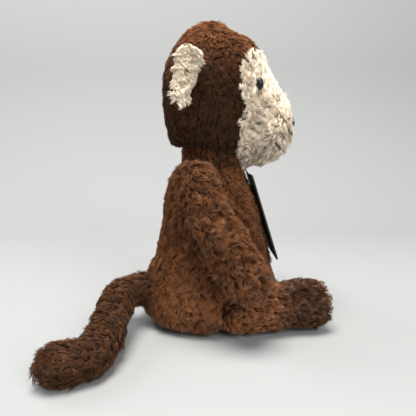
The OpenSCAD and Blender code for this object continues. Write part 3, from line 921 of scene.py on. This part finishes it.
def ear_face(side, thick):
    """One face of the ear as points and quads in the ear's own frame, bowed out to its thickness."""
    centre = np.array([19 * mm, 0.5 * mm])
    edge = [ear_edge(2 * math.pi * k / ear_spokes, centre) for k in range(ear_spokes)]
    points = []
    for k in range(1, ear_rings + 1):
        part = math.sin(math.pi / 2 * k / ear_rings)
        for j in range(ear_spokes):
            a = 2 * math.pi * j / ear_spokes
            out, up = centre + part * edge[j] * np.array([math.cos(a), math.sin(a)])
            points.append([side * thick * math.sqrt(max(0, 1 - part ** 2)), out, up])
    points = np.array(points)
    j = np.arange(ear_spokes)
    ahead = (j + 1) % ear_spokes
    quads = np.concatenate([np.column_stack([k * ear_spokes + j, k * ear_spokes + ahead,
                                             (k + 1) * ear_spokes + ahead, (k + 1) * ear_spokes + j])
                            for k in range(ear_rings - 1)])
    half = ear_spokes // 2
    cap = np.array([[m, m + 1, ear_spokes - 1 - m - 1, ear_spokes - 1 - m] for m in range(half - 1)])
    quads = np.concatenate([quads, cap])
    return points, quads if side < 0 else quads[:, ::-1]


def cupped(p):
    """Bends the flat ear: its rim comes forward, and its back is drawn into the head along the seam."""
    out, up = p[:, 1], p[:, 2]
    rim = np.clip((np.hypot(out - 19 * mm, (up - 0.5 * mm) * 0.72) - 6 * mm) / (14 * mm), 0, 1.4)
    front = np.clip((9 * mm - out) / (12 * mm), 0, 1) * np.clip((up - 2 * mm) / (12 * mm), 0, 1)
    behind = ease(p[:, 0], -0.5 * mm, 0.5 * mm)
    root = np.exp(-((out - 6 * mm) / (6.5 * mm)) ** 2 - ((up - 1 * mm) / (11 * mm)) ** 2)
    bend = -4.5 * mm * rim ** 1.6 * (1 - root) - 2 * mm * front + (2 + 8.5 * behind) * mm * root
    return p + np.column_stack([bend, -3 * mm * behind * root, 0 * up])


def to_ear(p, hinge):
    side = -np.sign(hinge[0])
    turn = ear_splay * side
    q = p * [side, 1, 1]
    return np.column_stack([q[:, 0] * math.cos(turn) - q[:, 1] * math.sin(turn),
                            q[:, 0] * math.sin(turn) + q[:, 1] * math.cos(turn), q[:, 2]]) + hinge


for body_name, hinge in ear_hinge.items():
    which = body_name.split("_")[1]
    mirror = -np.sign(hinge[0])
    for label, side, thick, material, slot, long, wide, every in (
            ("lining", -1, 2.4 * mm, cream_pile, "cream_pile", 5.6 * mm, 0.76 * mm, 0.45),
            ("back", 1, 1.8 * mm, brown_pile, "brown_pile", 4.6 * mm, 0.72 * mm, 0.58)):
        flat, quads = ear_face(side, thick)
        points = to_ear(cupped(flat), hinge)
        if mirror < 0:
            quads = quads[:, ::-1]
        normals = skin_normals(points, quads)
        ear_mid = points.mean(0)

        def outwards(spots, out, ear_mid=ear_mid):
            return (spots - ear_mid) * [0.8, 0.8, 0.15] + [0, 0, -9 * mm]

        # The brown back's tone of 0.55 is painted shade.
        panel = sew_panel(f"ear_{which}_{label}", points, quads, normals, outwards, every * mm * mm,
                          long, wide, 300 + int(mirror) * 7 + side, material, swirl=0.8,
                          patch=10 * mm, curl=0.6, stops=4, tone=1.0 if side < 0 else 0.55)
        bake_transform(panel)
        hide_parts(f"ear_{'front' if label == 'lining' else 'back'}_{which}")

# ---------------------------------------------------------------------------------------------
# The arms: long soft tubes of brown pile cloth, stuffed lightly, sewn shut and sewn on at the
# shoulder so that they swing.
# ---------------------------------------------------------------------------------------------
joint_at = {j["child"]: np.array(j["pos_m"]) for j in frame["joints"]}
shoulder_drop = 135 * mm
for number, which in enumerate(("right", "left")):
    arm_shape = bmesh.new()
    add_node(arm_shape, f"arm_stuffing_{which}")
    points, faces = soften(arm_shape, 2.6 * mm, 4)
    high = points[:, 2] > shoulder_drop
    points[high, 2] = shoulder_drop + (points[high, 2] - shoulder_drop) * 0.5
    out = skin_normals(points, faces)
    lumps = 1.1 * waves(points, 24 * mm, 400 + number) + 0.8 * waves(points, 9 * mm, 410) + 0.9
    points = points + out * lumps[:, None] * mm
    out = skin_normals(points, faces)
    shoulder = joint_at[f"arm_{which}"]
    side = np.sign(shoulder[0])
    hand = points[np.argmax(np.linalg.norm(points - shoulder, axis=1))]

    def to_hand(spots, away, way=hand - shoulder):
        return np.tile(way, (len(spots), 1))

    def arm_painted_light(spots, shoulder=shoulder):
        """Painted shade on the pile: a little darker on the shoulder."""
        return 1.0 + 0.15 * ease(np.linalg.norm(spots - shoulder, axis=1), 8 * mm, 42 * mm)

    outer = out[faces].mean(1)[:, 0] * side > 0
    for label, mask in (("outer", outer), ("inner", ~outer)):
        arm = sew_panel(f"arm_{which}_{label}", points, faces[mask], out, to_hand, 0.6 * mm * mm, 8.0 * mm,
                        0.68 * mm, 420 + 10 * number + 5 * (label == "inner"), brown_pile,
                        swirl=1.3, patch=10 * mm, curl=1.2, gather=0.38, per_lock=11, uneven=0.34,
                        tone=arm_painted_light)
        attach(arm, f"arm_{which}")
        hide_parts(f"arm_cover_{which}")
    stuff(f"arm_filling_{which}", points, faces, out, f"arm_{which}", 1.2 * mm, 440 + number,
          f"arm_stuffing_{which}")

# ---------------------------------------------------------------------------------------------
# The legs: stuffed tubes of brown pile cloth sewn into the seat, each closed at the toe by a
# round cream sole of the same cloth.
# ---------------------------------------------------------------------------------------------
for number, which in enumerate(("right", "left")):
    hip = joint_at[f"leg_{which}"]
    sole_at = node_points(f"sole_{which}").mean(0)
    way = (sole_at - hip) * [1, 1, 0]
    leg_length = np.linalg.norm(way)
    way = way / leg_length
    leg_shape = bmesh.new()
    add_node(leg_shape, f"leg_stuffing_{which}")
    points, faces = soften(leg_shape, 2.6 * mm, 4)
    out = skin_normals(points, faces)
    lumps = 0.8 * waves(points, 28 * mm, 500 + number) + 0.4 * waves(points, 12 * mm, 510)
    points = points + out * lumps[:, None] * mm
    points[:, 2] = np.maximum(points[:, 2], 2.0 * mm)
    out = skin_normals(points, faces)
    middle_of = points[faces].mean(1)
    facing = out[faces].mean(1) @ way
    from_axis = np.linalg.norm(np.cross(middle_of - hip, way), axis=1)
    sole_faces = (facing > 0.6) & (from_axis < 16.5 * mm) & ((middle_of - hip) @ way > leg_length * 0.9)

    def to_toe(spots, away, way=way):
        return np.tile(way, (len(spots), 1)) + 0.2 * away

    def leg_painted_light(spots, hip=hip):
        """Painted light and shade on the pile: light near the hip, darker towards the toe."""
        return 1.6 - 1.22 * ease(np.linalg.norm(spots - hip, axis=1), 20 * mm, 50 * mm)

    def off_the_floor(spots, away):
        return (away[:, 2] > -0.8) | (spots[:, 2] > 6 * mm)

    leg = sew_panel(f"leg_{which}", points, faces[~sole_faces], out, to_toe, 0.6 * mm * mm, 7.0 * mm,
                    0.7 * mm, 520 + 10 * number, brown_pile, swirl=1.1, patch=12 * mm,
                    uneven=0.28, gather=0.38, per_lock=12, tone=leg_painted_light, keep=off_the_floor)
    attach(leg, f"leg_{which}")
    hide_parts(f"leg_cover_{which}")

    def to_rim(spots, away, sole_at=sole_at):
        return spots - sole_at + [0, 0, -2 * mm]

    sole = sew_panel(f"sole_pile_{which}", points, faces[sole_faces], out, to_rim, 0.5 * mm * mm, 5.0 * mm,
                     0.66 * mm, 540 + 10 * number, cream_pile, swirl=1.2, patch=9 * mm,
                     lift=44, stops=4)
    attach(sole, f"leg_{which}")
    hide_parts(f"sole_{which}")
    stuff(f"leg_filling_{which}", points, faces, out, f"leg_{which}", 1.2 * mm, 560 + number,
          f"leg_stuffing_{which}")

# ---------------------------------------------------------------------------------------------
# The tail: one long soft tube of brown pile cloth, sewn into the back seam. It is made in four lengths.
# ---------------------------------------------------------------------------------------------
tail_nodes = ("tail_root_piece", "tail_second", "tail_third", "tail_end")
tail_bodies = ("torso", "tail_1", "tail_2", "tail_3", "tail_4")
pivots = np.array([joint_at[b] for b in tail_bodies[1:]])
tail_low, tail_high = (np.array(v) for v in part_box("tail_end"))
tail_r = (tail_high[2] - tail_low[2]) / 2
tail_shape = bmesh.new()
for node in tail_nodes:
    add_node(tail_shape, node)
for pivot in pivots[1:]:
    add_hull(tail_shape, ball_points(pivot, tail_r * 0.99))
points, faces = soften(tail_shape, 2.6 * mm, 6)
out = skin_normals(points, faces)
lumps = -1.2 + 0.9 * waves(points, 26 * mm, 600) + 0.4 * waves(points, 11 * mm, 601)
points = points + out * lumps[:, None] * mm
points[:, 2] += 3 * mm * np.exp(-(np.linalg.norm(points - pivots[1], axis=1) / (24 * mm)) ** 2)
points[:, 2] = np.maximum(points[:, 2], 2.2 * mm)
out = skin_normals(points, faces)
tail_tip = points[np.argmax(np.linalg.norm(points - pivots[0], axis=1))]
line = np.concatenate([pivots, [tail_tip]])
nearest = np.argmin(np.linalg.norm(points[faces].mean(1)[:, None] - pivots, axis=2), axis=1)


def to_tip(spots, away):
    k = np.argmin(np.linalg.norm(spots[:, None] - pivots, axis=2), axis=1)
    return line[k + 1] - line[k]


for k, node in enumerate(tail_nodes):
    # The tail's tone of 0.5 is painted shade.
    length = sew_panel(f"tail_{k + 1}", points, faces[nearest == k], out, to_tip, 0.6 * mm * mm, 7.2 * mm,
                       0.7 * mm, 610 + 10 * k, brown_pile, swirl=1.2, patch=11 * mm, curl=1.1,
                       gather=0.38, per_lock=12, uneven=0.3, tone=0.5)
    way = (line[k + 1] - line[k]) if k == 0 else (line[k + 1] - line[k - 1])
    way = way / np.linalg.norm(way)
    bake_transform(length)
    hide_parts(node)

# ---------------------------------------------------------------------------------------------
# The swing tag: a dark card with rounded corners and a punched hole, on a twisted cotton loop
# that lies round the neck.
# ---------------------------------------------------------------------------------------------
card_finish = grained("dark_card", (0.022, 0.018, 0.018), (0.036, 0.029, 0.029), 1.5 * mm, 0.7, 0.05 * mm)
loop_thread = grained("loop_cotton", (0.03, 0.025, 0.025), (0.07, 0.06, 0.06), 0.8 * mm, 0.85,
                      0.1 * mm, 0.6 * mm)
card = node_points("swing_tag")
drop = card[np.argsort(card[:, 2])[:8]].mean(0) - card[np.argsort(-card[:, 2])[:8]].mean(0)
card_down = drop * [0, 1, 1] / np.linalg.norm(drop * [0, 1, 1])
card_wide = np.ptp(card[:, 0])
card_out = np.cross([1, 0, 0], card_down)
card_long = np.ptp(card @ card_down)
card_thick = np.ptp(card @ card_out)
card_base = np.array([0, 0, 0]) + card_down * (card @ card_down).min() + card_out * (card @ card_out).mean()
corner_r, hole_r, hole_down, bevel = 3.0 * mm, 1.6 * mm, 5.0 * mm, 0.25 * mm


def card_outline(inset):
    r = corner_r - inset
    half = card_wide / 2 - inset
    spots = []
    for cx, cy, a0 in ((half - r, card_long - inset - r, 0), (-half + r, card_long - inset - r, 90),
                       (-half + r, inset + r, 180), (half - r, inset + r, 270)):
        for a in np.radians(np.linspace(a0, a0 + 90, 8)):
            spots.append([cx + r * math.cos(a), cy + r * math.sin(a)])
    return np.array(spots)


edge = card_outline(0)
inner = card_outline(bevel)
hole_mid = np.array([0, hole_down])
angles = np.arctan2(edge[:, 1] - hole_mid[1], edge[:, 0] - hole_mid[0])
hole = hole_mid + hole_r * np.column_stack([np.cos(angles), np.sin(angles)])
lip = hole_mid + (hole_r + bevel) * np.column_stack([np.cos(angles), np.sin(angles)])
half = card_thick / 2
loops = [(lip, half), (inner, half), (edge, half - bevel), (edge, -half + bevel), (inner, -half),
         (lip, -half), (hole, -half + bevel), (hole, half - bevel)]
flat = np.array([[x, y, z] for ring, z in loops for x, y in ring])
n = len(edge)
j = np.arange(n)
quads = np.concatenate([np.column_stack([a * n + j, a * n + (j + 1) % n, b * n + (j + 1) % n, b * n + j])
                        for a, b in zip(range(8), list(range(1, 8)) + [0])])
points = (card_base + flat[:, :1] * [1, 0, 0] + flat[:, 1:2] * card_down
          + flat[:, 2:3] * card_out)
tag = new_piece("tag_card", points, quads[:, ::-1], np.zeros((0, 3), int), card_finish)
for polygon in tag.data.polygons:
    polygon.use_smooth = False
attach(tag, "card")
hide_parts("swing_tag")

loop = node_points("tag_loop")
ring_z = np.median(loop[:, 2])
ring_mid = neck_mid * [1, 1, 0] + [0, 0, ring_z]
ring_r = np.ptp(loop[:, 0]) / 2 - 0.8 * mm
ply_r, twist_every = 0.45 * mm, 3.2 * mm


def twisted(path):
    """Two plies wound round one line."""
    path = np.array(path)
    gone = np.concatenate([[0], np.cumsum(np.linalg.norm(np.diff(path, axis=0), axis=1))])
    along = unit(np.gradient(path, axis=0))
    first = unit(np.cross(along, np.tile([0.1, 0.2, 1.0], (len(path), 1))))
    second = np.cross(along, first)
    plies = []
    for start in (0, math.pi):
        a = start + 2 * math.pi * gone / twist_every
        aside = np.cos(a)[:, None] * first + np.sin(a)[:, None] * second
        plies.append(drawn_tube(path + ply_r * 0.8 * aside, ply_r, 6))
    return plies


around = np.linspace(-math.pi / 2, 1.5 * math.pi, 260)
ring_path = [ring_mid + ring_r * np.array([math.cos(a), math.sin(a), 0.0]) for a in around]
drop_end = card_base + card_down * hole_down
drop_path = [ring_path[0] * (1 - t) + (drop_end + [0, 0, 0.5 * mm]) * t for t in np.linspace(0, 1, 30)]
loop_points, loop_quads, loop_tris = joined(twisted(ring_path) + twisted(drop_path))
loop_piece = new_piece("tag_loop_cotton", loop_points, loop_quads, loop_tris, loop_thread)
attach(loop_piece, "torso")
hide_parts("tag_loop")
